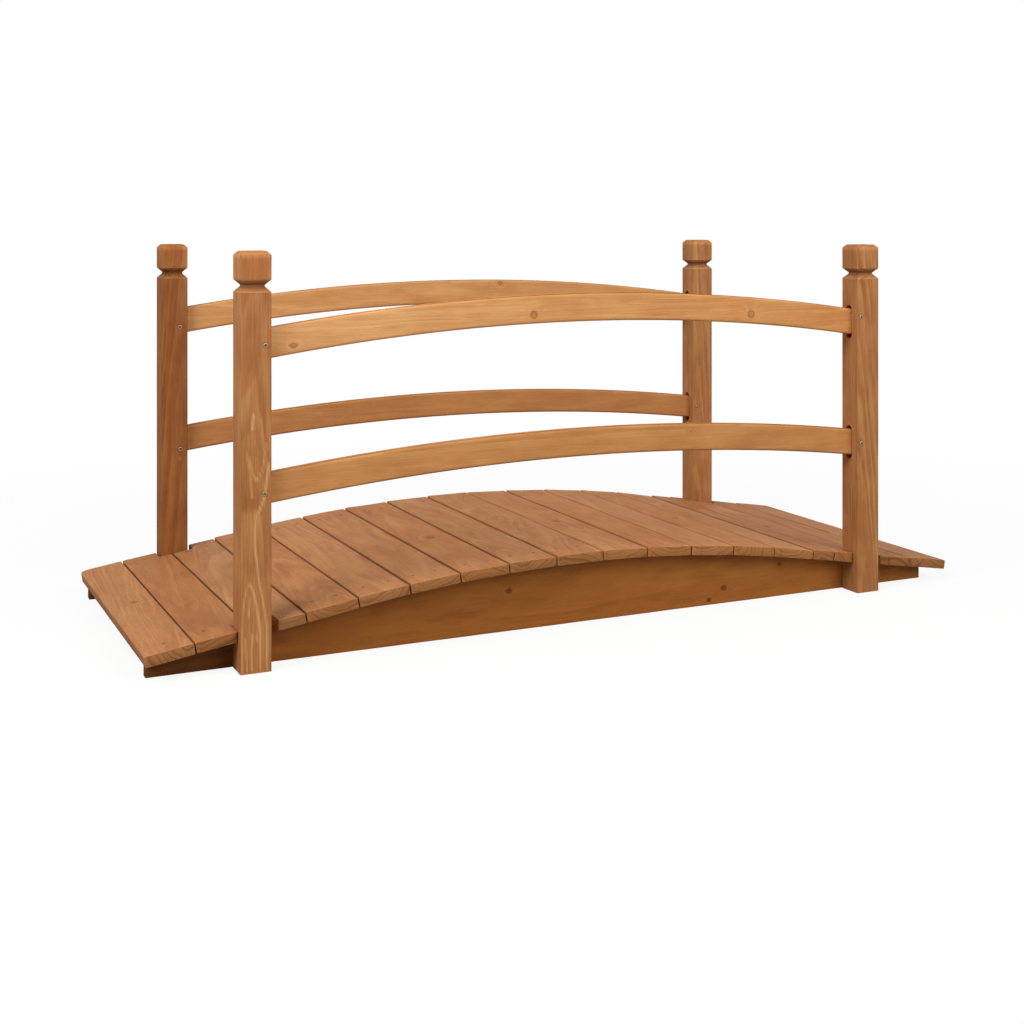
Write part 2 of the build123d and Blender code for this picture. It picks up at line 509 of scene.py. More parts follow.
@dataclass(frozen=True)
class Wood:
    """What tells one piece of wood from the next.

    Attributes:
        seed: Number that its noise differs by.
        pith: Where the heart of the tree lies, across and through, from the piece's middle.
        lean: How fast the piece runs off the tree's axis, across and through.
        tone: Brightness against its neighbours.
        warmth: How much redder than its neighbours it took the glaze.
        drift: Change of brightness and of warmth from its middle to its far end.
        knots: The knots on its wide faces.
        streaks: The pale streaks on its front face.
    """

    seed: int
    pith: Pair
    lean: Pair = (0.0, 0.0)
    tone: float = 1.0
    warmth: float = 0.0
    drift: Pair = (0.0, 0.0)
    knots: tuple[Knot, ...] = ()
    streaks: tuple[Streak, ...] = ()

    def write(self, mesh: Mesh, places: tuple[Rows, ...], face: tuple[Rows, ...]) -> None:
        """Writes where each point lies in the tree, and its knots, streaks and brightness.

        Args:
            mesh: The finished mesh.
            places: Each vertex's place along the grain, across the wide face and through.
            face: Its place along and across the face, by which the knots are laid out.
        """
        along, across, through = places
        off_across = across - self.pith[0] - self.lean[0] * along
        off_through = through - self.pith[1] - self.lean[1] * along
        grain = [off_across, off_through, along + PIECE_STEP * self.seed]
        write_values(mesh, "grain", np.stack(grain, 1))
        nearest = np.full(len(along), NO_KNOT)
        for knot in self.knots:
            away = (face[0] - knot.along) / (knot.size * knot.stretch), (face[1] - knot.across) / knot.size
            nearest = np.minimum(nearest, np.hypot(*away))
        write_values(mesh, "knot", nearest)
        run = along / np.abs(along).max()
        tone, warmth = self.tone + self.drift[0] * run, self.warmth + self.drift[1] * run
        # A warmer glaze takes a little green and more blue
        tones = [tone, tone * (1 - 0.12 * warmth), tone * (1 - 0.28 * warmth)]
        write_values(mesh, "tone", np.stack(tones, 1))
        pale = np.zeros(len(along))
        front = through < through.min() + 2.0
        for streak in self.streaks:
            pale = np.maximum(pale, streak.strength_at(along, across) * front)
        write_values(mesh, "streak", pale)


@dataclass(frozen=True)
class Dent:
    """A fastener's place on a piece: the wood is pressed in and dirty round it.

    Attributes:
        place: The point, in metres.
        radius: How far the flat of the dent reaches.
        depth: How deep it is.
        dirt: How dark it is, up to 1.
    """

    place: Vector
    radius: float
    depth: float
    dirt: float


@dataclass
class Timber:
    """One piece of wood, cut from a CAD node.

    Attributes:
        node: The CAD node that it stands for.
        along: Unit vector along the grain.
        across: Unit vector across the wide face.
        through: Unit vector through the thickness.
        wood: Its wood.
    """

    node: str
    along: Vector
    across: Vector
    through: Vector
    wood: Wood

    def __post_init__(self) -> None:
        """Finds the middle, in metres, and the size from the CAD node."""
        lowest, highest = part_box(self.node)
        self.centre = (lowest + highest) / 2
        self.size = tuple(side / MM for side in highest - lowest)

    def shape(self, rounding: float) -> Solid:
        """Copies the CAD node as clean flat faces with softened corners.

        Args:
            rounding: Radius of the sharp corners.

        Returns:
            The solid, in metres.
        """
        solid = bmesh.new()
        solid.from_mesh(bpy.data.objects[self.node].data)
        bmesh.ops.remove_doubles(solid, verts=solid.verts, dist=0.02 * MM)
        bmesh.ops.dissolve_limit(solid, angle_limit=math.radians(0.3), verts=solid.verts, edges=solid.edges)
        joined = [e for e in solid.edges if len(e.link_faces) == 2]
        bmesh.ops.bevel(
            solid,
            geom=[e for e in joined if e.calc_face_angle() > math.radians(50)],
            offset=rounding * MM,
            segments=2,
            profile=0.5,
            affect="EDGES",
            clamp_overlap=True,
        )
        return solid

    def slice(self, solid: Solid, direction: Vector, stations: list[float]) -> None:
        """Cuts the faces of a solid by planes square to a direction.

        Args:
            solid: The solid to cut.
            direction: Unit vector that the planes are square to.
            stations: Places of the planes from the piece's middle.
        """
        for station in sorted(set(round(s, 1) for s in stations)):
            bmesh.ops.bisect_plane(
                solid,
                geom=solid.verts[:] + solid.edges[:] + solid.faces[:],
                dist=0.005 * MM,
                plane_co=self.centre + direction * station * MM,
                plane_no=direction,
            )

    def places(self, points: Rows) -> tuple[Rows, Rows, Rows]:
        """Distances of points from the piece's middle, along, across and through."""
        off = (points - np.array(self.centre)) / MM
        return tuple(off @ np.array(axis) for axis in (self.along, self.across, self.through))

    def close(self, solid: Solid, waviness: float, dents: list[Dent]) -> Piece:
        """Turns a cut solid into a piece with its wood written on it.

        Args:
            solid: The cut solid, which is freed.
            waviness: How far the surface strays inwards.
            dents: The dents in it.

        Returns:
            The piece, in place.
        """
        bmesh.ops.triangulate(solid, faces=[f for f in solid.faces if len(f.verts) > 4])
        bmesh.ops.recalc_face_normals(solid, faces=solid.faces)
        mesh = bpy.data.meshes.new(f"{self.node}_timber")
        solid.to_mesh(mesh)
        solid.free()
        facing = np.abs(read(mesh.polygons, "normal") @ np.array(self.along))
        ends = np.clip((facing - 0.8) / 0.15, 0, 1)
        places = self.places(read(mesh.vertices, "co"))
        return self.dress(mesh, places, places, ends, (waviness, WAVE), dents)

    def dress(
        self,
        mesh: Mesh,
        places: tuple[Rows, ...],
        face: tuple[Rows, ...],
        ends: Rows,
        wave: Pair,
        dents: list[Dent],
    ) -> Piece:
        """Writes the wood on a mesh, and lets its surface stray and dent inwards.

        Args:
            mesh: The piece's mesh.
            places: Each vertex's place along the grain, across and through.
            face: Its place along and across the face, by which the knots are laid out.
            ends: 1 on each face that is a cut end.
            wave: How far the surface strays, and the length of its waves.
            dents: The dents in it.

        Returns:
            The piece, in place.
        """
        write_values(mesh, "edge", edge_wear_and_highlight(mesh))
        write_values(mesh, "end", ends, "FACE")
        points, inwards = read(mesh.vertices, "co"), -read(mesh.vertex_normals, "vector")
        stray = (soft_noise(points, self.wood.seed, wave[1]) * 0.5 + 0.5) * wave[0] * MM
        moved = points + inwards * stray[:, None]
        dirt = np.zeros(len(points))
        for dent in dents:
            away = np.linalg.norm(points - np.array(dent.place), axis=1) / MM
            fall = np.clip((dent.radius * 1.9 - away) / (dent.radius * 0.9), 0, 1)
            fall = fall * fall * (3 - 2 * fall)
            moved += inwards * (fall * dent.depth * MM)[:, None]
            dark = np.clip((dent.radius * 1.5 - away) / (dent.radius * 0.8), 0, 1)
            dirt = np.maximum(dirt, dark * dent.dirt)
        mesh.vertices.foreach_set("co", moved.ravel())
        write_values(mesh, "dent", dirt)
        self.wood.write(mesh, places, face)
        mesh.shade_smooth()
        mesh.set_sharp_from_angle(angle=TIMBER_SMOOTH)
        return linked(f"{self.node}_timber", mesh)


def even(length: float, cell: float) -> list[float]:
    """Evenly spaced places over a length, from its middle, about a cell apart and without its ends."""
    count = max(2, round(length / cell))
    return [length * (i / count - 0.5) for i in range(1, count)]


def near(place: float, reach: float, cell: float) -> list[float]:
    """Evenly spaced places within a reach of one place."""
    count = int(reach / cell)
    return [place + i * cell for i in range(-count, count + 1)]


def read(items: bpy.types.bpy_prop_collection, key: str, width: int = 3) -> Rows:
    """Reads one row of numbers for each item of a mesh.

    Args:
        items: Its vertices, normals, faces or an attribute's data.
        key: What is read from each.
        width: Count of numbers in a row.

    Returns:
        The rows.
    """
    values = np.zeros(len(items) * width)
    items.foreach_get(key, values)
    return values.reshape(-1, width)


def write_values(mesh: Mesh, name: str, values: Rows, domain: str = "POINT") -> None:
    """Stores one number or one vector for each point or face of a mesh.

    Args:
        mesh: The mesh.
        name: The attribute's name.
        values: One row for each point or face.
        domain: What the rows stand for.
    """
    kind, key = ("FLOAT_VECTOR", "vector") if values.ndim == 2 else ("FLOAT", "value")
    attribute = mesh.attributes.new(name, kind, domain)
    attribute.data.foreach_set(key, values.astype(np.float32).ravel())


def linked(name: str, data: bpy.types.ID) -> Piece:
    """Makes an object and links it to the scene.

    Args:
        name: The object's name.
        data: Its mesh, lamp or camera.

    Returns:
        The object, at the origin.
    """
    piece = bpy.data.objects.new(name, data)
    bpy.context.scene.collection.objects.link(piece)
    return piece


def soft_noise(points: Rows, seed: float, length: float) -> Rows:
    """Smooth noise from -1 to 1 at some points, by a seed and the length of a wave."""
    scale, start = 1 / (length * MM), Vector((seed * 7.3, seed * 3.1, seed))
    return np.array([noise.noise(Vector(point) * scale + start) for point in points])


def edge_wear_and_highlight(mesh: Mesh) -> Rows:
    """How much of an edge each vertex is: 0 on a flat, 1 on a corner.

    Args:
        mesh: The finished mesh.

    Returns:
        One value for each vertex.
    """
    flat, starts = read(mesh.polygons, "normal"), read(mesh.vertex_normals, "vector")
    turned = np.zeros(len(mesh.vertices))
    for polygon in mesh.polygons:
        for corner in polygon.vertices:
            turned[corner] = max(turned[corner], 1 - starts[corner] @ flat[polygon.index])
    return np.clip(turned / 0.12, 0, 1)


def add_painted_shade(mesh: Mesh, dirt: Rows) -> None:
    """Adds painted shade to a finished piece, from 0 to 1 for each vertex, on top of the dirt of its dents.
    """
    data = mesh.attributes["dent"].data
    data.foreach_set("value", np.maximum(read(data, "value", 1)[:, 0], dirt).astype(np.float32))


def scale_tone(mesh: Mesh, factors: Rows) -> None:
    """Multiplies a finished piece's brightness by one factor for each vertex."""
    data = mesh.attributes["tone"].data
    data.foreach_set("vector", (read(data, "vector") * factors[:, None]).astype(np.float32).ravel())


def place_piece(piece: Piece, slot: Slot, material: bpy.types.Material, *nodes: str) -> None:
    """Gives a piece its material and its place in the frame.

    Args:
        piece: The finished object.
        slot: The record's slot that it belongs to; not used.
        material: Its material.
        *nodes: The CAD nodes that it stands for.
    """
    piece.data.materials.clear()
    piece.data.materials.append(material)
    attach(piece, "root")
    if nodes:
        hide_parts(*nodes)
    stands_for = ", ".join(nodes) or "no node"
    log.info("%s: %d faces, stands for %s", piece.name, len(piece.data.polygons), stands_for)


# The figure on the front left post's front face
POST_FIGURE = (
    # A long wavy streak from the upper screw's height down past the middle
    Streak(
        1.8, 0.9, ((-5, 18), (-27, 15), (-44, 13), (-58, 10), (-75, 1), (-95, -2), (-122, -2), (-142, 1))
    ),
    Streak(1.7, 0.65, ((-142, 1), (-171, 4), (-199, 10), (-233, 15), (-267, 16), (-298, 15))),
    # A short dash above it, and two pointed arches between
    Streak(1.4, 1.0, ((68, -4), (55, -5), (44, -6))),
    Streak(1.2, 0.6, ((9, -10), (-12, -7), (-24, -2), (-23, 3), (-15, 8), (-3, 10), (9, 12), (24, 16))),
    Streak(1.2, 0.55, ((11, -13), (-9, -10), (-30, -8), (-50, -6))),
    # A tall flame at the foot, with finer lines inside it
    Streak(1.4, 0.6, ((-170, -10), (-180, -14), (-194, -17), (-211, -19), (-239, -20), (-298, -20))),
    Streak(1.6, 0.75, ((-170, -10), (-178, -6), (-193, -2), (-211, 2), (-243, 6), (-298, 6))),
    Streak(1.3, 0.75, ((-190, -9), (-205, -10), (-219, -11))),
    Streak(1.4, 0.8, ((-242, -5), (-266, -7), (-298, -6))),
    Streak(1.2, 0.6, ((-206, 0), (-221, 2), (-236, 3), (-253, 1))),
    Streak(1.2, 0.6, ((-251, -15), (-272, -14), (-298, -13))),
)


@dataclass(frozen=True)
class PostPlan:
    """One post's own wood and holes.

    Attributes:
        wood: Its wood.
        screws: Distance from the post's inner face and height of each screw.
        cap_tone: How much brighter its cap is than its shaft.
        pilot_holes: The same as for the screws, of each hole that was drilled and left empty.
    """

    wood: Wood
    screws: tuple[Pair, ...]
    cap_tone: float = 1.0
    pilot_holes: tuple[Pair, ...] = ()


@dataclass
class Posts:
    """The four posts, each from one square fir batten.

    Attributes:
        finish: Their finish.
        plans: Each post's own wood and holes.
        rounding: Radius of the arrises.
        cell: Size of a mesh cell along and across.
        margin: How near a long edge the mesh is left uncut.
        waviness: How far their surface strays inwards.
        screw_dent: Radius, depth and dirt of the dent round a screw.
        hole_dent: The same for an empty hole.
        neck_middle: Height of the V neck's middle above the post's middle.
        neck_half: Half the neck's height.
        neck_cuts: How far from the neck's middle level cuts keep its slopes clean.
        neck_shade_strength: How dark the painted shade in the bottom of the neck is.
    """

    finish: StainedFir
    plans: dict[str, PostPlan] = field(
        default_factory=lambda: {
            "post_front_left": PostPlan(
                Wood(11, (-10.0, 92.0), (0.012, 0.02), warmth=0.1, streaks=POST_FIGURE),
                ((8.5, 465.2), (9.9, 253.8)),
                1.14,
            ),
            "post_front_right": PostPlan(
                Wood(12, (-30.0, 78.0), (-0.02, 0.03), tone=0.95),
                ((8.8, 475.3), (9.0, 257.4)),
            ),
            "post_back_left": PostPlan(
                # The drill left a pale rim round the pilot hole
                Wood(
                    13,
                    (24.0, 84.0),
                    (0.015, 0.025),
                    tone=0.66,
                    warmth=1.15,
                    knots=(Knot(253.0, -15.0, 3.0, 1.2),),
                    streaks=(Streak(2.2, 1.0, ((-74.4, 9.2), (-73.4, 9.2))),),
                ),
                ((13.3, 455.6), (12.4, 242.6)),
                1.25,
                ((13.3, 226.1),),
            ),
            "post_back_right": PostPlan(
                Wood(14, (-28.0, 74.0), (-0.01, 0.02), tone=1.02, warmth=-0.3),
                ((9.5, 468.0), (9.5, 258.3)),
                0.98,
            ),
        }
    )
    rounding: float = 0.9
    cell: Pair = (6.0, 2.4)
    margin: float = 1.5
    waviness: float = 0.25
    screw_dent: tuple[float, float, float] = (3.6, 0.5, 0.85)
    hole_dent: tuple[float, float, float] = (1.2, 0.8, 0.3)
    neck_middle: float = 250.0
    neck_half: float = 9.0
    neck_cuts: Pair = (6.5, 10.5)
    neck_shade_strength: float = 0.75

    def screw_places(self) -> list[Vector]:
        """Where the screws sit on the posts' front faces, in metres."""
        return [self.face_point(node, hole) for node, plan in self.plans.items() for hole in plan.screws]

    def face_point(self, node: str, hole: Pair) -> Vector:
        """A point on a post's front face.

        Args:
            node: The post.
            hole: The point's distance from the post's inner face, and its height.

        Returns:
            The point, in metres.
        """
        lowest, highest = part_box(node)
        inner = highest.x - hole[0] * MM if End.LEFT.value in node else lowest.x + hole[0] * MM
        return Vector((inner, lowest.y, hole[1] * MM))

    def build(self) -> None:
        """Builds and dresses the four posts."""
        material = self.finish.material()
        for node, plan in self.plans.items():
            timber = Timber(node, Z, X, Y, plan.wood)
            width, _, height = timber.size
            dents = [Dent(self.face_point(node, hole), *self.screw_dent) for hole in plan.screws]
            dents += [Dent(self.face_point(node, hole), *self.hole_dent) for hole in plan.pilot_holes]
            solid = timber.shape(self.rounding)
            heights = even(height, self.cell[0])
            heights += [self.neck_middle + side * reach for side in (-1, 1) for reach in self.neck_cuts]
            for dent in dents:
                heights += near((dent.place.z - timber.centre.z) / MM, 8.0, 2.0)
            timber.slice(solid, timber.along, heights)
            for direction, cell in ((timber.across, self.cell[1]), (timber.through, self.cell[1] * 2)):
                sides = [s for s in even(width, cell) if abs(s) < width / 2 - self.margin]
                timber.slice(solid, direction, sides)
            piece = timber.close(solid, self.waviness, dents)
            self.paint_neck_shade_and_cap_tone(piece.data, timber, width / 2)
            place_piece(piece, Slot.POST, material, node)

    def paint_neck_shade_and_cap_tone(self, mesh: Mesh, timber: Timber, half: float) -> None:
        """Paints shade into the bottom of the V neck, darker on the slope that faces down, and gives the
        cap its own brightness.

        Args:
            mesh: The finished post.
            timber: Its wood.
            half: Half the post's width.
        """
        along, across, through = timber.places(read(mesh.vertices, "co"))
        reach = np.maximum(np.abs(across), np.abs(through))
        inside = np.abs(along - self.neck_middle) < self.neck_half
        # Painted shade: the slope that faces down is darker than the one that faces up
        kept = np.where(along > self.neck_middle - 2.5, 1.0, 0.3)
        add_painted_shade(mesh, np.clip((half - 1.0 - reach) / 5.0, 0, 1) * inside * kept * self.neck_shade_strength)
        scale_tone(mesh, np.where(along > self.neck_middle, self.plans[timber.node].cap_tone, 1.0))


@dataclass
class Stringers:
    """The two side beams under the deck.

    Attributes:
        finish: Their finish.
        woods: The wood of each.
        rounding: Radius of the arrises.
        cell: Size of a mesh cell along and across.
        waviness: How far their surface strays inwards.
        shade_from: Where the painted shade on the left end begins, from the beam's middle.
        shade_run: Length over which that painted shade sets in.
        painted_shade_share: How much darker the painted shade makes the left end.
    """

    finish: StainedFir
    woods: dict[str, Wood] = field(
        default_factory=lambda: {
            "stringer_front": Wood(
                21,
                (14.0, 74.0),
                (0.012, 0.018),
                tone=1.02,
                drift=(0.16, -0.5),
                knots=(
                    Knot(-123.0, 12.0, 3.4),
                    Knot(382.0, 4.0, 3.0),
                    Knot(270.0, -25.0, 3.6, 1.4),
                    Knot(241.0, -42.0, 3.0, 1.4),
                ),
            ),
            "stringer_back": Wood(
                22,
                (-16.0, 74.0),
                (0.012, 0.018),
                tone=0.97,
                drift=(0.16, -0.5),
                knots=(Knot(-260.0, -8.0, 4.0, 1.4), Knot(140.0, 10.0, 4.0), Knot(430.0, -20.0, 3.5, 1.5)),
            ),
        }
    )
    rounding: float = 1.2
    cell: Pair = (16.0, 3.6)
    waviness: float = 0.3
    shade_from: float = -540.0
    shade_run: float = 30.0
    painted_shade_share: float = 0.52

    def build(self) -> None:
        """Builds and dresses the two beams."""
        material = self.finish.material()
        for node, wood in self.woods.items():
            timber = Timber(node, X, Z, Y, wood)
            length, _, height = timber.size
            solid = timber.shape(self.rounding)
            stations = even(length, self.cell[0])
            for knot in wood.knots:
                stations += knot.around(2.5)
            timber.slice(solid, timber.along, stations)
            timber.slice(solid, timber.across, even(height, self.cell[1]))
            timber.slice(solid, timber.through, [0.0])
            piece = timber.close(solid, self.waviness, [])
            # Painted shade: before its left post the beam is darkened, standing in for the shade under the
            # deck's overhang and beside the post
            along, _, _ = timber.places(read(piece.data.vertices, "co"))
            share = np.clip((self.shade_from - along) / self.shade_run, 0, 1)
            scale_tone(piece.data, 1 - self.painted_shade_share * share)
            place_piece(piece, Slot.STRINGER, material, node)


@dataclass(frozen=True)
class NailPlace:
    """One nail in a board.

    Attributes:
        place: The point on the board's top, in metres.
        shift: Its distance from the board's middle line.
        line: Its distance from the middle of the walkway.
    """

    place: Vector
    shift: float
    line: float


@dataclass(frozen=True)
class BoardFaults:
    """A board's own small faults, all inside its CAD solid: it is cut a little short and narrow,
    and its top has cupped, tilted and shrunk.

    Attributes:
        short: How much it is cut short at the back and at the front.
        narrow: How much narrower it is.
        cup: How far its edges sink, or its middle where this is negative.
        drop: How far its whole top has sunk.
        tilt: How far its right edge sinks, or its left one where this is negative.
    """

    short: Pair
    narrow: float
    cup: float
    drop: float
    tilt: float

    @classmethod
    def drawn(cls, random: np.random.Generator, tilt: float, outer: bool) -> BoardFaults:
        """Draws a board's faults.

        Args:
            random: The source of chance.
            tilt: How far its right edge sinks.
            outer: Whether it is the first or the last board, which keep their full length and height.

        Returns:
            The faults.
        """
        short = tuple(random.uniform(0.0, 3.0, 2))
        narrow = random.uniform(0.0, 0.9)
        cup = random.uniform(-0.5, 0.5)
        drop = random.uniform(0.0, 0.5)
        return cls(short, 0.0, cup, 0.0, tilt) if outer else cls(short, narrow, cup, drop, tilt)

    def sink(self, place: float) -> float:
        """How far the top has sunk at a place across the board.

        Args:
            place: -1 at the left edge, 1 at the right edge.

        Returns:
            The distance.
        """
        bend = min(1.0, place * place)
        tilted = (abs(self.tilt) + self.tilt * place) / 2
        return self.drop + tilted + abs(self.cup) * (bend if self.cup > 0 else 1 - bend)

    def apply(self, timber: Timber, solid: Solid, size: tuple[float, float, float]) -> None:
        """Moves the board's points.

        Args:
            timber: The board.
            solid: Its cut solid.
            size: Its length, width and thickness.
        """
        length, width, thickness = size
        for vert in solid.verts:
            off = (vert.co - timber.centre) / MM
            across, along = off.dot(timber.across), off.dot(timber.along)
            share = max(0.0, 0.5 + off.dot(timber.through) / thickness)
            cut = self.short[0] if along > 0 else self.short[1]
            vert.co -= timber.through * self.sink(2 * across / width) * share * MM
            vert.co -= timber.across * self.narrow * (across / width) * MM
            vert.co -= timber.along * cut * (along / (length / 2)) * MM


@dataclass
class Deck:
    """The deck boards, nailed to the beams.

    Attributes:
        finish: Their finish.
        cell: Size of a mesh cell along and across.
        rounding: Radius of the cut ends' arrises.
        margin: How near a long edge the mesh is left uncut.
        waviness: How far their surface strays inwards.
        nail_dent: Radius and depth of the dent round a nail.
        nail_line: Distance of the nails from the middle of the walkway.
        nail_spread: Distance of the two nails of a board's end from its middle line.
        one_nail_width: Width under which a board gets one nail at each end.
        unshaded_edge_depth: How far down its rounded edges a board stays free of the painted shade between
            boards.
        seam_shade_strength: How dark the painted shade between boards is.
        shade_end_margin: How far in from its ends the painted shade between boards stops.
        tones: Brightness of each board, from the left.
        tilts: How far each board's right edge has sunk below its left one, from the left.
        round_corner: Radius by which the first board's far left corner is worn round.
        seed: Seed of the boards' wood, faults and nails.
    """

    finish: StainedFir
    cell: Pair = (20.0, 7.0)
    rounding: float = 1.0
    margin: float = 2.2
    waviness: float = 0.35
    nail_dent: Pair = (2.6, 0.5)
    nail_line: float = 242.0
    nail_spread: float = 19.0
    one_nail_width: float = 75.0
    unshaded_edge_depth: float = 1.0
    seam_shade_strength: float = 0.5
    shade_end_margin: float = 4.0
    tones: tuple[float, ...] = (
        *(1.03, 0.92, 0.93, 1.0, 1.06, 1.02, 1.0, 0.97, 1.02),
        *(1.1, 1.1, 1.14, 1.12, 1.14, 0.99, 1.0, 0.93, 0.98),
    )
    tilts: tuple[float, ...] = (
        *(0.0, 0.8, 0.9, 0.4, 0.7, 0.5, 1.2, 1.1, 0.0),
        *(1.0, 0.4, 0.5, 0.3, 2.0, 0.3, 0.6, 0.8, 0.0),
    )
    round_corner: float = 16.0
    seed: int = 41

    def build(self) -> list[tuple[Vector, Vector]]:
        """Builds and dresses the boards.

        Returns:
            Place and outward direction of each nail, in metres.
        """
        material = self.finish.material()
        random = np.random.default_rng(self.seed)
        nails = []
        names = sorted(n for n in bpy.data.objects.keys() if n.startswith("deck_board_"))
        for number, node in enumerate(names):
            wood = Wood(
                31 + number,
                pith=(random.uniform(-38, 38), random.choice((-1, 1)) * random.uniform(22, 90)),
                lean=(random.uniform(-0.04, 0.04), random.uniform(-0.09, 0.09)),
                tone=self.tones[number],
                warmth=random.uniform(-0.45, 0.45),
                knots=self.knots(random, number),
            )
            upward = top_direction(node)
            timber = Timber(node, Y, Vector((upward.z, 0, -upward.x)), upward, wood)
            ranges = timber.places(read(bpy.data.objects[node].data.vertices, "co"))
            length, width, thickness = size = tuple(places.max() - places.min() for places in ranges)
            timber.centre += upward * (ranges[2].max() + ranges[2].min()) / 2 * MM
            timber.centre += timber.across * (ranges[1].max() + ranges[1].min()) / 2 * MM
            faults = BoardFaults.drawn(random, self.tilts[number], outer=number in (0, len(names) - 1))
            own = self.nail_places(timber, random, (width, thickness), faults)
            solid = timber.shape(self.rounding)
            stations = even(length, self.cell[0])
            stations += [self.shade_end_margin - length / 2, length / 2 - self.shade_end_margin]
            for nail in own:
                stations += near(nail.line, 6.0, 2.0)
            for knot in wood.knots:
                stations += knot.around(3.0)
            timber.slice(solid, timber.along, stations)
            sides = even(width, self.cell[1])
            for shift in sorted(set(nail.shift for nail in own)):
                sides += near(shift, 4.0, 2.0)
            if number == 0:
                worn = [self.round_corner * share for share in (0.15, 0.35, 0.6, 0.85, 1.0)]
                timber.slice(solid, timber.along, [length / 2 - w for w in worn])
                timber.slice(solid, timber.across, [w - width / 2 for w in worn])
            timber.slice(solid, timber.across, [s for s in sides if abs(s) < width / 2 - self.margin])
            faults.apply(timber, solid, size)
            if number == 0:
                self.wear_corner(timber, solid, length, width)
            dirts = [0.1 + 0.75 * random.uniform() ** 1.5 for _ in own]
            dents = [Dent(nail.place, *self.nail_dent, dirt) for nail, dirt in zip(own, dirts)]
            piece = timber.close(solid, self.waviness, dents)
            self.paint_seam_shade(piece.data, timber, width, thickness)
            place_piece(piece, Slot.DECK, material, node)
            nails += [(nail.place, upward) for nail in own]
        return nails

    def nail_places(
        self, timber: Timber, random: np.random.Generator, size: Pair, faults: BoardFaults
    ) -> list[NailPlace]:
        """Where a board's nails go: two at each end, or one where it is narrow.

        Args:
            timber: The board.
            random: The source of chance.
            size: The board's width and thickness.
            faults: How far its top has sunk.

        Returns:
            The nails' places.
        """
        width, thickness = size
        nails = []
        for side in (-1, 1):
            for off in (0.0,) if width < self.one_nail_width else (-self.nail_spread, self.nail_spread):
                shift = off + random.uniform(-3, 3)
                line = side * (self.nail_line + random.uniform(-3, 5))
                rise = thickness / 2 - faults.sink(2 * shift / width)
                off = timber.across * shift + timber.through * rise + timber.along * line
                nails.append(NailPlace(timber.centre + off * MM, shift, line))
        return nails

    def wear_corner(self, timber: Timber, solid: Solid, length: float, width: float) -> None:
        """Rounds the first board's far left corner.

        Args:
            timber: The board.
            solid: Its cut solid.
            length: Its length.
            width: Its width.
        """
        for vert in solid.verts:
            off = (vert.co - timber.centre) / MM
            beyond = off.dot(timber.along) - (length / 2 - self.round_corner)
            aside = -off.dot(timber.across) - (width / 2 - self.round_corner)
            if beyond <= 0 or aside <= 0:
                continue
            pull = max(beyond, aside) / math.hypot(beyond, aside)
            vert.co -= timber.along * beyond * (1 - pull) * MM
            vert.co += timber.across * aside * (1 - pull) * MM

    def paint_seam_shade(self, mesh: Mesh, timber: Timber, width: float, thickness: float) -> None:
        """Paints shade low on a board's long sides, so that the seams between boards read dark.

        Args:
            mesh: The finished board.
            timber: Its wood.
            width: Its width.
            thickness: Its thickness.
        """
        along, across, through = timber.places(read(mesh.vertices, "co"))
        inner = np.abs(along) < np.abs(along).max() - self.shade_end_margin + 0.5
        low = np.clip((thickness / 2 - through - self.unshaded_edge_depth) / 1.6, 0, 1) * inner
        side = np.clip((np.abs(across) - width / 2 + 2.6) / 0.8, 0, 1)
        add_painted_shade(mesh, low * side * self.seam_shade_strength)

    def knots(self, random: np.random.Generator, number: int) -> tuple[Knot, ...]:
        """Draws a small knot for every third board.

        Args:
            random: The source of chance.
            number: The board's number.

        Returns:
            The board's knots.
        """
        if number % 3 != 0:
            return ()
        return (Knot(random.uniform(-230, 230), random.uniform(-24, 24), random.uniform(3.5, 6.5)),)


def top_direction(node: str) -> Vector:
    """The direction that a board's top faces.

    Args:
        node: The board's CAD node.

    Returns:
        A unit vector.
    """
    mesh = bpy.data.objects[node].data
    best = max((p for p in mesh.polygons if p.normal.z > 0.5), key=lambda p: p.area)
    upward = best.normal.copy()
    upward.y = 0
    return upward.normalized()


def new_group(name: str, inputs: dict[str, str]) -> tuple[Tree, bpy.types.bpy_prop_collection]:
    """Starts a Geometry Nodes group.

    Args:
        name: The group's name.
        inputs: The kind of each input between the geometry and the material, by its name.

    Returns:
        The group, and its inputs as sockets to link from.
    """
    tree = bpy.data.node_groups.new(name, "GeometryNodeTree")
    for label, kind in {"Geometry": "Geometry", **inputs, "Material": "Material"}.items():
        tree.interface.new_socket(label, in_out="INPUT", socket_type=f"NodeSocket{kind}")
    tree.interface.new_socket("Geometry", in_out="OUTPUT", socket_type="NodeSocketGeometry")
    return tree, add(tree, "NodeGroupInput").node.outputs


def end_group(tree: Tree, geometry: Socket, material: Socket) -> None:
    """Ends a Geometry Nodes group with plain geometry that has a material.

    Args:
        tree: The group.
        geometry: What it made.
        material: The material that this gets.
    """
    real = add(tree, "GeometryNodeRealizeInstances", {"Geometry": geometry})
    dressed = add(tree, "GeometryNodeSetMaterial", {"Geometry": real, "Material": material})
    add(tree, "NodeGroupOutput", {"Geometry": dressed})


def grown(tree: Tree, values: dict[str, object], name: str, base: Mesh | None = None) -> Mesh:
    """Runs a Geometry Nodes group and keeps its result as a plain mesh.

    Args:
        tree: The node group.
        values: A value for each named input.
        name: The mesh's name.
        base: The mesh that the group starts from, if it reads one.

    Returns:
        The mesh, in metres.
    """
    holder = linked(name, base or bpy.data.meshes.new(name))
    modifier = holder.modifiers.new("grow", "NODES")
    modifier.node_group = tree
    for socket in tree.interface.items_tree:
        if socket.in_out == "INPUT" and socket.name in values:
            modifier[socket.identifier] = values[socket.name]
    depsgraph = bpy.context.evaluated_depsgraph_get()
    mesh = bpy.data.meshes.new_from_object(holder.evaluated_get(depsgraph))
    holder.modifiers.remove(modifier)
    bpy.data.objects.remove(holder)
    mesh.name = name
    return mesh


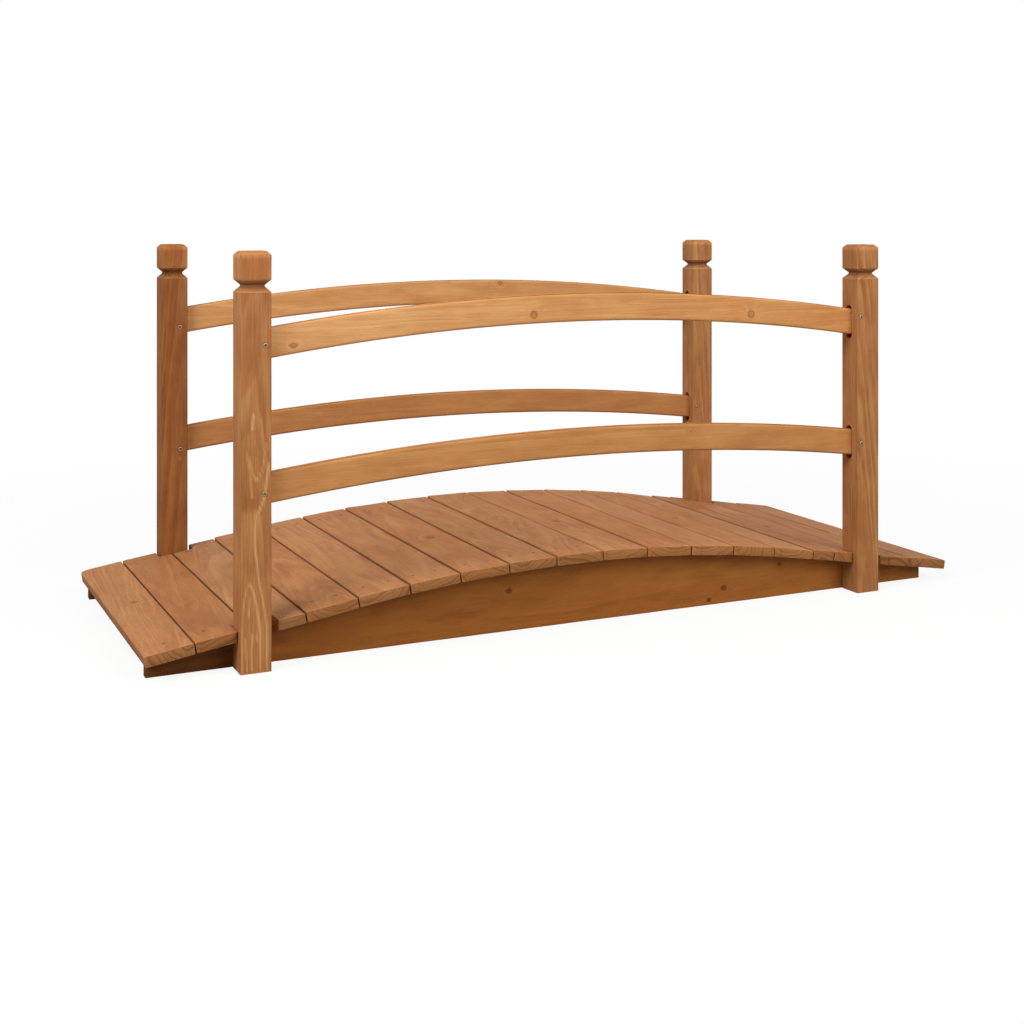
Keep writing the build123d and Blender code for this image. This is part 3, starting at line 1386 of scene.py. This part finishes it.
@dataclass
class Rails:
    """The two curved rails of each side, sawn from wide boards to an arc.

    Attributes:
        finish: Their finish.
        woods: The wood of each.
        depth: A rail's depth, as in the CAD model.
        rounding: Radius of its long edges.
        cell: Length of a mesh cell along the rail.
        side_cuts: Points added to each side of its section.
        corner_cuts: Points on each rounded corner.
        wave: How far their surface strays inwards, and the length of its waves.
    """

    finish: StainedFir
    woods: dict[str, Wood] = field(
        default_factory=lambda: {
            "handrail_front": Wood(
                61,
                (-30.0, 40.0),
                tone=1.1,
                warmth=-0.15,
                drift=(-0.1, 0.72),
                knots=(
                    Knot(307.0, -6.0, 6.0, 1.0),
                    Knot(-93.0, -8.0, 5.5, 1.0),
                    Knot(-478.0, -10.0, 3.5, 1.6),
                ),
            ),
            "midrail_front": Wood(
                62,
                (-8.0, 52.0),
                tone=0.89,
                warmth=0.4,
                drift=(-0.02, 0.1),
                knots=(Knot(190.0, 8.0, 2.0, 1.4),),
            ),
            "handrail_back": Wood(
                63,
                (14.0, 64.0),
                tone=1.03,
                warmth=-0.35,
                drift=(-0.04, 0.1),
                knots=(Knot(89.0, 16.0, 3.5),),
            ),
            "midrail_back": Wood(
                64,
                (36.0, 76.0),
                tone=0.81,
                warmth=0.3,
                drift=(0.03, 0.1),
                knots=(Knot(60.0, -6.0, 2.6),),
            ),
        }
    )
    depth: float = 44.0
    rounding: float = 4.0
    cell: float = 5.0
    side_cuts: int = 6
    corner_cuts: int = 5
    wave: Pair = (0.35, 60.0)

    def tree(self) -> Tree:
        """Builds the Geometry Nodes that sweep a rounded section along an arc.

        Returns:
            The node group.
        """
        floats = dict.fromkeys(("Radius", "Half Turn", "Depth", "Thickness", "Rounding"), "Float")
        tree, given = new_group("bent_rail", {**floats, "Cuts": "Int", "Centre": "Vector"})
        start = add(tree, MATH, {0: math.pi / 2, 1: given["Half Turn"]}, operation="SUBTRACT")
        whole = add(tree, MATH, {0: given["Half Turn"], 1: 2.0}, operation="MULTIPLY")
        arc = {
            "Resolution": given["Cuts"],
            "Radius": given["Radius"],
            "Start Angle": start,
            "Sweep Angle": whole,
        }
        arc = add(tree, "GeometryNodeCurveArc", arc, mode="RADIUS")
        section = add(
            tree,
            "GeometryNodeCurvePrimitiveQuadrilateral",
            {"Width": given["Depth"], "Height": given["Thickness"]},
            mode="RECTANGLE",
        )
        # Each side gets more points, and only the four real corners are rounded
        section = add(tree, "GeometryNodeSubdivideCurve", {"Curve": section, "Cuts": self.side_cuts})
        index = add(tree, "GeometryNodeInputIndex")
        turn = add(tree, MATH, {0: index, 1: self.side_cuts + 1.0}, operation="MODULO")
        corner = add(tree, MATH, {0: turn, 1: 0.5}, operation="LESS_THAN")
        radius = add(tree, MATH, {0: corner, 1: given["Rounding"]}, operation="MULTIPLY")
        section = add(
            tree,
            "GeometryNodeFilletCurve",
            {"Curve": section, "Radius": radius, "Count": self.corner_cuts},
            mode="POLY",
        )
        swept = {"Curve": arc, "Profile Curve": section, "Fill Caps": True}
        swept = add(tree, "GeometryNodeCurveToMesh", swept)
        swept = add(tree, "GeometryNodeMergeByDistance", {"Geometry": swept, "Distance": 0.05 * MM})
        stood = add(
            tree,
            "GeometryNodeTransform",
            {"Geometry": swept, "Rotation": (math.pi / 2, 0, 0), "Translation": given["Centre"]},
        )
        end_group(tree, stood, given["Material"])
        return tree

    def build(self) -> None:
        """Builds and dresses the four rails."""
        material = self.finish.material()
        tree = self.tree()
        for node, wood in self.woods.items():
            lowest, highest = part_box(node)
            size = (highest - lowest) / MM
            half = size.x / 2
            outer = (size.z**2 + half**2 - self.depth**2) / (2 * (size.z - self.depth))
            middle = outer - self.depth / 2
            middle_x, middle_y = (lowest.x + highest.x) / 2, (lowest.y + highest.y) / 2
            centre = Vector((middle_x, middle_y, highest.z - outer * MM))
            values = {
                "Radius": middle * MM,
                "Half Turn": math.asin(half / middle),
                "Depth": self.depth * MM,
                "Thickness": size.y * MM,
                "Rounding": self.rounding * MM,
                "Cuts": round(2 * half / self.cell),
                "Centre": centre,
                "Material": material,
            }
            mesh = grown(tree, values, f"{node}_timber")
            off = (read(mesh.vertices, "co") - np.array(centre)) / MM
            # The knots are laid out along the arc and across it
            away = np.hypot(off[:, 0], off[:, 2])
            arc = np.arctan2(off[:, 0], off[:, 2]) * middle, away - middle
            # The rail is sawn to its arc from straight wood, so the grain runs level through it
            level = off[:, 2] - math.sqrt(middle**2 - (half * 0.6) ** 2)
            # Its ends are hidden in their mortises, so none shows cut rings
            ends = np.zeros(len(mesh.polygons))
            timber = Timber(node, X, Z, Y, wood)
            piece = timber.dress(mesh, (off[:, 0], level, off[:, 1]), arc, ends, self.wave, [])
            place_piece(piece, Slot.RAIL, material, node)


@dataclass
class Fasteners:
    """Screws in the posts and nails in the deck.

    Attributes:
        screw_finish: The screws' finish.
        nail_finish: The nails' finish.
        screw_radius: Radius of a screw's head.
        nail_radius: Radius of a nail's head.
        screw_sunk: How far a screw's head sits below the face.
        nail_sunk: How far a nail's head does.
        nail_nod: How far a nail may lean, in radians.
    """

    screw_finish: Steel
    nail_finish: Steel
    screw_radius: float = 3.5
    nail_radius: float = 1.6
    screw_sunk: float = 0.3
    nail_sunk: float = 0.4
    nail_nod: float = 0.12

    def screw_head(self) -> Piece:
        """A countersunk head with a cross recess, its top at the origin and facing up.

        Returns:
            The head, in metres.
        """
        radius = self.screw_radius
        rings = (
            *((2.0, 0.0, -2.0, 0.0), (radius, 0.0, -0.5, 0.0), (radius, 0.0, -0.22, 0.0)),
            *((radius - 0.25, 0.0, -0.04, 0.0), (radius - 0.9, 0.0, 0.0, 0.0)),
            *((0.0, 1.0, -0.02, 0.15), (0.0, 0.86, -0.35, 1.0), (0.0, 0.5, -1.3, 1.0)),
        )
        return lathe("screw_head", rings, 32)

    def nail_head(self) -> Piece:
        """A small flat nail head, its top at the origin and facing up.

        Returns:
            The head, in metres.
        """
        radius = self.nail_radius
        rings = (
            *((0.8, 0.0, -1.4, 0.3), (radius, 0.0, -0.45, 0.2)),
            *((radius * 0.86, 0.0, -0.1, 0.1), (radius * 0.4, 0.0, 0.0, 0.1)),
        )
        return lathe("nail_head", rings, 10)

    def tree(self) -> Tree:
        """Builds the Geometry Nodes that set a head at each point, facing the point's own way.

        Returns:
            The node group.
        """
        tree, given = new_group("set_heads", {"Head": "Object", "Seed": "Int", "Tilt": "Float"})
        head = add(tree, "GeometryNodeObjectInfo", {"Object": given["Head"]}, out="Geometry")
        facing = add(tree, "GeometryNodeInputNamedAttribute", {"Name": "facing"}, data_type="FLOAT_VECTOR")
        turned = add(tree, "FunctionNodeAlignRotationToVector", {"Vector": facing}, axis="Z")
        spin = add(
            tree,
            "FunctionNodeRandomValue",
            {"Min": 0.0, "Max": math.pi, "Seed": given["Seed"]},
            out=1,
            data_type="FLOAT",
        )
        nod = add(
            tree,
            "FunctionNodeRandomValue",
            {"Min": 0.0, "Max": given["Tilt"], "Seed": given["Seed"]},
            out=1,
            data_type="FLOAT",
        )
        own = add(tree, "ShaderNodeCombineXYZ", {0: nod, 1: 0.0, 2: spin})
        turned = {"Rotation": turned, "Rotate By": own}
        turned = add(tree, "FunctionNodeRotateRotation", turned, rotation_space="LOCAL")
        placed = {"Points": given["Geometry"], "Instance": head, "Rotation": turned}
        placed = add(tree, "GeometryNodeInstanceOnPoints", placed)
        end_group(tree, placed, given["Material"])
        return tree

    def build(self, screws: list[Vector], nails: list[tuple[Vector, Vector]]) -> None:
        """Sets the screws and the nails.

        Args:
            screws: The screws' places on the posts' front faces.
            nails: Place and outward direction of each nail.
        """
        tree = self.tree()
        forward = Vector((0, -1, 0))
        driven = [(place + Y * (self.screw_sunk * MM), forward) for place in screws]
        sunk = [(place - outward * self.nail_sunk * MM, outward) for place, outward in nails]
        for name, head, places, seed, nod, slot, finish in (
            ("screws", self.screw_head(), driven, 5, 0.0, Slot.POST, self.screw_finish),
            ("nails", self.nail_head(), sunk, 8, self.nail_nod, Slot.DECK, self.nail_finish),
        ):
            material = finish.material()
            base = bpy.data.meshes.new(f"{name}_points")
            base.from_pydata([place for place, _ in places], [], [])
            write_values(base, "facing", np.array([tuple(facing) for _, facing in places]))
            mesh = grown(tree, {"Head": head, "Seed": seed, "Tilt": nod, "Material": material}, name, base)
            mesh.shade_smooth()
            mesh.set_sharp_from_angle(angle=STEEL_SMOOTH)
            bpy.data.objects.remove(head)
            place_piece(linked(name, mesh), slot, material)


def cross_recess(angle: float) -> float:
    """Half width of a cross recess in a direction.

    Args:
        angle: The direction, in radians.

    Returns:
        Distance from the middle to the recess's edge.
    """
    turned = abs((angle + math.pi / 4) % (math.pi / 2) - math.pi / 4)
    arm, half_width = 2.6, 0.95
    return min(arm / math.cos(turned), half_width / max(math.sin(turned), 1e-6))


def lathe(name: str, rings: tuple[Colour, ...], sides: int) -> Piece:
    """Builds a closed turned shape from rings of points.

    Args:
        name: The object's name.
        rings: For each ring its round radius, its share of a cross recess's radius, its height
            and how hollow it is.
        sides: Number of points in a ring.

    Returns:
        The object, facing up, in metres.
    """
    shape = bmesh.new()
    hollow = shape.verts.layers.float.new("hollow")
    loops = []
    for radius, cross, height, depth in rings:
        loop = []
        for i in range(sides):
            angle = 2 * math.pi * i / sides
            reach = (radius + cross_recess(angle) * cross) * MM
            vert = shape.verts.new((reach * math.cos(angle), reach * math.sin(angle), height * MM))
            vert[hollow] = depth
            loop.append(vert)
        loops.append(loop)
    for lower, upper in zip(loops, loops[1:]):
        for i in range(sides):
            j = (i + 1) % sides
            shape.faces.new((lower[i], lower[j], upper[j], upper[i]))
    shape.faces.new(loops[-1])
    shape.faces.new(list(reversed(loops[0])))
    mesh = bpy.data.meshes.new(name)
    shape.to_mesh(mesh)
    shape.free()
    return linked(name, mesh)


@dataclass
class Studio:
    """A white floor under soft plain light, and the camera.

    Attributes:
        place: The camera's place.
        turn: How far the camera turns from looking along Y, in degrees.
        lens: Focal length for a 36 mm wide frame.
        shift: The frame's shift, as a share of its width.
        lamps: Place, side and power in watts of each lamp, by its name.
        sky: Strength of the sky's light at the horizon and overhead.
        bounce: Colour of the floor by which it lights the bridge from below.
        floor_seen: Colour of the floor as the camera sees it.
        floor_half: Half the floor's side, in metres.
        shadow_share: How much of the floor's shadow the camera sees next to the bridge.
        shadow_fades: Where that shadow starts to fade and where it is gone, in metres from the middle.
    """

    place: tuple[float, float, float] = (-1107.0, -2470.0, 651.0)
    turn: float = 26.33
    lens: float = 1545 / 1024 * 36
    shift: Pair = ((512 - 580) / 1024, (215 - 512) / 1024)
    lamps: dict[str, tuple[tuple[float, float, float], float, float]] = field(
        default_factory=lambda: {
            "front_right": ((1500.0, -3700.0, 2200.0), 2400.0, 92.0),
            "front_left": ((-3100.0, -1500.0, 3000.0), 2200.0, 122.0),
        }
    )
    sky: Pair = (0.35, 0.5)
    bounce: str = "#a0a0a0"
    floor_seen: str = "#fafafa"
    floor_half: float = 9.0
    shadow_share: float = 0.12
    shadow_fades: Pair = (0.9, 1.9)

    def build(self) -> None:
        """Builds the floor, the light and the camera."""
        self.floor()
        self.world()
        for name, (place, size, power) in self.lamps.items():
            self.lamp(name, place, size, power)
        data = bpy.data.cameras.new("camera")
        data.sensor_width = 36.0
        data.lens = self.lens
        data.shift_x, data.shift_y = self.shift
        data.clip_end = 50.0
        camera = linked("camera", data)
        camera.location = Vector(self.place) * MM
        camera.rotation_euler = (math.pi / 2, 0, -math.radians(self.turn))
        bpy.context.scene.camera = camera
        bpy.context.scene.view_settings.view_transform = "Standard"

    def floor(self) -> None:
        """A pale floor that is plain white to the camera but for the object's shadow."""
        mesh = bpy.data.meshes.new("floor")
        half = self.floor_half
        corners = [(-half, -half, 0), (half, -half, 0), (half, half, 0), (-half, half, 0)]
        mesh.from_pydata(corners, [], [(0, 1, 2, 3)])
        material = bpy.data.materials.new("white_floor")
        tree = blank(material)
        seen = add(tree, "ShaderNodeLightPath", out="Is Camera Ray")
        paint = add(tree, MIX, {0: seen, 6: linear(self.bounce), 7: linear(self.floor_seen)}, **COLOURS)
        skin = add(tree, "ShaderNodeBsdfDiffuse", {"Color": paint})
        white = add(tree, "ShaderNodeEmission", {"Color": (1, 1, 1, 1), "Strength": 1.0})
        # The shadow is kept round the bridge and fades out over a metre beyond it
        spot = add(tree, "ShaderNodeTexCoord", out="Object")
        away = add(tree, VECTOR, {0: spot}, out="Value", operation="LENGTH")
        starts, stops = self.shadow_fades
        share = add(tree, RANGE, {0: away, 1: starts, 2: stops, 3: 1 - self.shadow_share, 4: 1.0})
        # Under the deck it is kept whole, so that no white ground shows through the seams
        span = add(tree, VECTOR, {0: spot}, operation="ABSOLUTE")
        beside = add(tree, "ShaderNodeSeparateXYZ", {0: span}, out="Y")
        before = add(tree, RANGE, {0: beside.node.outputs["X"], 1: 0.60, 2: 0.64, 3: 0.0, 4: 1.0})
        beside = add(tree, RANGE, {0: beside, 1: 0.238, 2: 0.242, 3: 0.0, 4: 1.0})
        outside = add(tree, MATH, {0: before, 1: beside}, operation="MAXIMUM")
        share = add(tree, MATH, {0: share, 1: outside}, operation="MULTIPLY")
        share = add(tree, MATH, {0: share, 1: seen}, operation="MULTIPLY")
        both = add(tree, "ShaderNodeMixShader", {0: share, 1: skin, 2: white})
        add(tree, "ShaderNodeOutputMaterial", {"Surface": both})
        mesh.materials.append(material)
        linked("floor", mesh)

    def world(self) -> None:
        """A white sky, brightest overhead, and full white where the camera or a gloss sees it."""
        world = bpy.data.worlds.new("studio")
        tree = blank(world)
        path = add(tree, "ShaderNodeLightPath", out="Is Camera Ray")
        seen = add(tree, MATH, {0: path, 1: path.node.outputs["Is Glossy Ray"]}, operation="MAXIMUM")
        seen = add(tree, MATH, {0: seen, 1: path.node.outputs["Is Transmission Ray"]}, operation="MAXIMUM")
        way = add(tree, "ShaderNodeTexCoord", out="Generated")
        height = add(tree, "ShaderNodeSeparateXYZ", {0: way}, out="Z")
        sky = add(tree, RANGE, {0: height, 1: 0.0, 2: 1.0, 3: self.sky[0], 4: self.sky[1]})
        strength = add(tree, "ShaderNodeMix", {0: seen, 2: sky, 3: 1.0}, out=0, data_type="FLOAT")
        back = add(tree, "ShaderNodeBackground", {"Color": (1, 1, 1, 1), "Strength": strength})
        add(tree, "ShaderNodeOutputWorld", {"Surface": back})
        bpy.context.scene.world = world

    def lamp(self, name: str, place: tuple[float, float, float], size: float, power: float) -> None:
        """Adds one large soft lamp that faces the bridge.

        Args:
            name: The lamp's name.
            place: Its middle.
            size: The side of its square.
            power: Its power in watts.
        """
        data = bpy.data.lights.new(name, "AREA")
        data.size = size * MM
        data.energy = power
        lamp = linked(name, data)
        lamp.location = Vector(place) * MM
        lamp.rotation_euler = (Vector((0, 0, 0.25)) - lamp.location).to_track_quat("-Z", "Y").to_euler()


POST_FIR = StainedFir(
    "fir_post",
    early="#a2673a",
    late="#d8a36a",
    dark="#85502a",
    haze="#b27a48",
    end="#b07c4c",
    end_late="#8a5a32",
    ring=3.6,
    fibre_share=0.4,
    wear_and_highlight=1.4,
    sway=10.0,
)
RAIL_FIR = StainedFir(
    "fir_rail",
    early="#c2864f",
    late="#d9a468",
    dark="#a8703c",
    haze="#cd945c",
    knot="#84401c",
    knot_fill=0.35,
    ring=4.5,
    ring_share=0.45,
    pool_share=0.3,
    fibre_share=0.26,
    sway=14.0,
)
STRINGER_FIR = StainedFir(
    "fir_stringer",
    early="#955822",
    late="#aa6b30",
    dark="#784215",
    haze="#9c6027",
    knot="#64300f",
    knot_fill=0.8,
    knot_rim=0.7,
    ring=6.0,
    ring_share=0.35,
    pool_share=0.5,
)
DECK_FIR = StainedFir(
    "fir_deck",
    early="#ab7043",
    late="#c58e5c",
    dark="#8c5430",
    haze="#b37d4c",
    ring=6.0,
    ring_share=0.6,
    fibre_share=0.36,
    wear_and_highlight=1.42,
)
ZINC = Steel("zinc_plated_steel", "#a89c80")
# Nails that were driven under the face: what shows is dark wood dirt more than metal
BLACK = Steel("blackened_steel", "#5a3c25", roughness=0.62, metallic=0.2)


def main() -> None:
    logging.basicConfig(level=logging.INFO, format="%(name)s: %(message)s")
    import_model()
    posts = Posts(POST_FIR)
    posts.build()
    Rails(RAIL_FIR).build()
    Stringers(STRINGER_FIR).build()
    nails = Deck(DECK_FIR).build()
    Fasteners(ZINC, BLACK).build(posts.screw_places(), nails)
    Studio().build()


if __name__ == "__main__":
    main()
